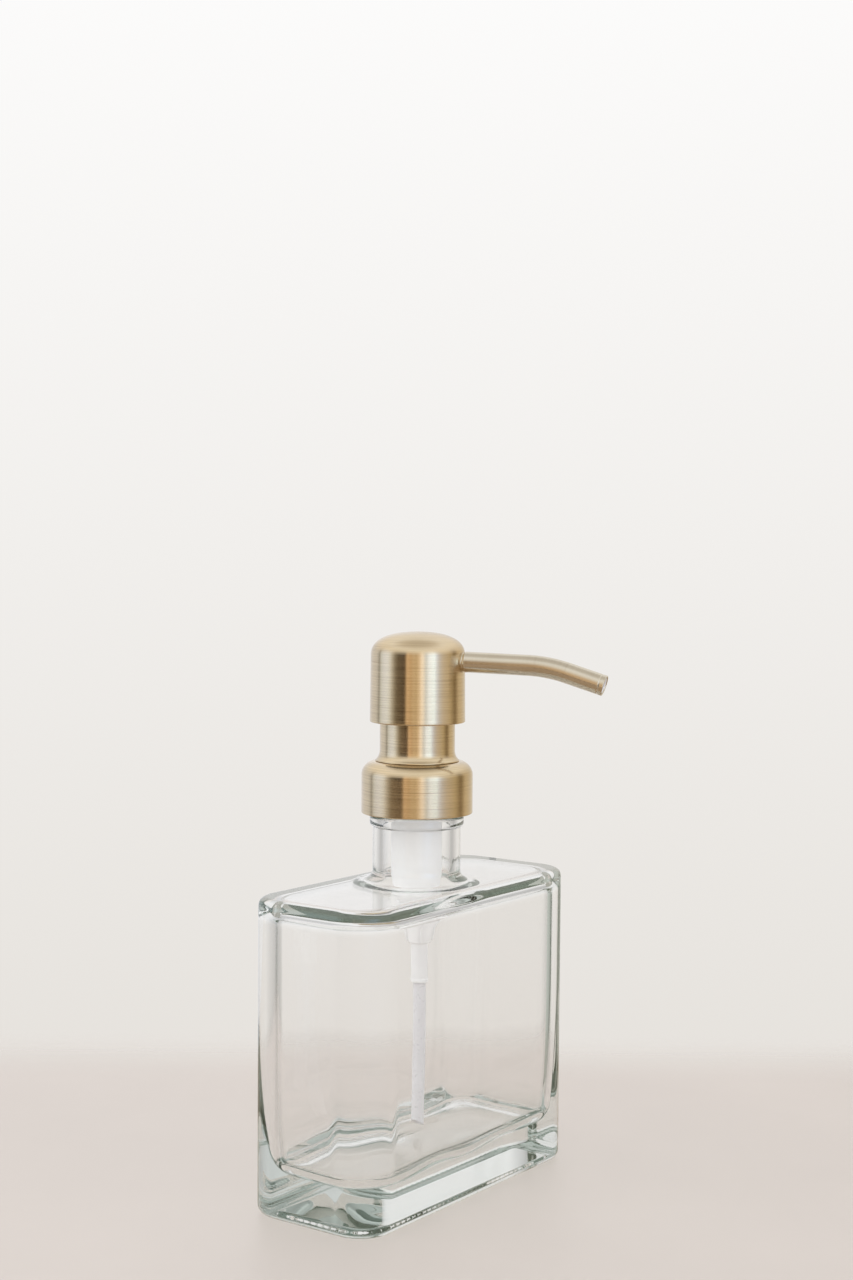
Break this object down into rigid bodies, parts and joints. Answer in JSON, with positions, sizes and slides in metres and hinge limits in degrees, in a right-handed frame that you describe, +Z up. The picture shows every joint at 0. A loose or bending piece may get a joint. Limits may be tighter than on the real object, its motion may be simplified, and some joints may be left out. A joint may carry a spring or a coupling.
{
  "type": "soap pump dispenser",
  "caption": "Clear rectangular glass bottle with a screw-on lotion pump: a brushed brass collar, sleeve and pressing head with a drooping spout, over a plastic pump and dip tube.",
  "frame": {"origin": "centre of the bottle's underside, on the surface that it stands on", "axes": "+Z up along the pump's axis; X along the bottle's wide face; Y through its thickness, with the spout on the -Y side"},
  "size_m": [0.1006, 0.0738, 0.1598],
  "materials": {
    "glass_clear": "clear moulded glass with a faint green tint in its edges and a heavy floor",
    "brass_brushed": "fine brushing round the axis, lacquered, warm champagne tone",
    "brass_smooth": "smooth drawn tube with a soft polish",
    "plastic_white": "white moulded polypropylene",
    "plastic_soft": "soft natural polyethylene",
    "tube_natural": "milky translucent extruded polyethylene",
    "seal_foam": "soft pale sealing foam",
    "steel_bright": "bright stainless wire and ball"
  },
  "bodies": {
    "bottle": {"glass_bottle": "glass_clear"},
    "cap": {"collar_shell": "brass_brushed", "threaded_cap": "plastic_white"},
    "pump": {"sleeve_shell": "brass_brushed", "chaplet": "plastic_white", "rim_gasket": "seal_foam", "pump_housing": "plastic_white", "dip_tube": "tube_natural", "return_spring": "steel_bright"},
    "ball": {"inlet_ball": "steel_bright"},
    "plunger": {"stem": "plastic_white", "valve_pin": "plastic_white"},
    "piston": {"piston": "plastic_soft"},
    "head": {"head_shell": "brass_brushed", "actuator_core": "plastic_white", "spout_tube": "brass_smooth", "spout_liner": "tube_natural"}
  },
  "joints": [
    {"name": "pump_rise", "type": "slide", "parent": "bottle", "child": "pump", "axis": [0, 0, 1], "range_m": [0, 0.00423]},
    {"name": "cap_turn", "type": "hinge", "parent": "pump", "child": "cap", "pos_m": [0, 0, 0.115], "axis": [0, 0, 1], "range_deg": [0, 360]},
    {"name": "head_press", "type": "slide", "parent": "pump", "child": "plunger", "axis": [0, 0, -1], "range_m": [0, 0.01], "stiffness_N_per_m": 700, "springref_m": -0.01, "deforming": ["return_spring"]},
    {"name": "head_turn", "type": "hinge", "parent": "plunger", "child": "head", "pos_m": [0, 0, 0.14], "axis": [0, 0, 1], "continuous": true},
    {"name": "piston_slip", "type": "slide", "parent": "plunger", "child": "piston", "axis": [0, 0, 1], "range_m": [0, 0.0008]},
    {"name": "inlet_ball_lift", "type": "slide", "parent": "pump", "child": "ball", "axis": [0, 0, 1], "range_m": [0, 0.0012]}
  ],
  "couplings": [
    {"joint": "cap_turn", "follows": "pump_rise", "rad_per_m": 1484.2}
  ]
}
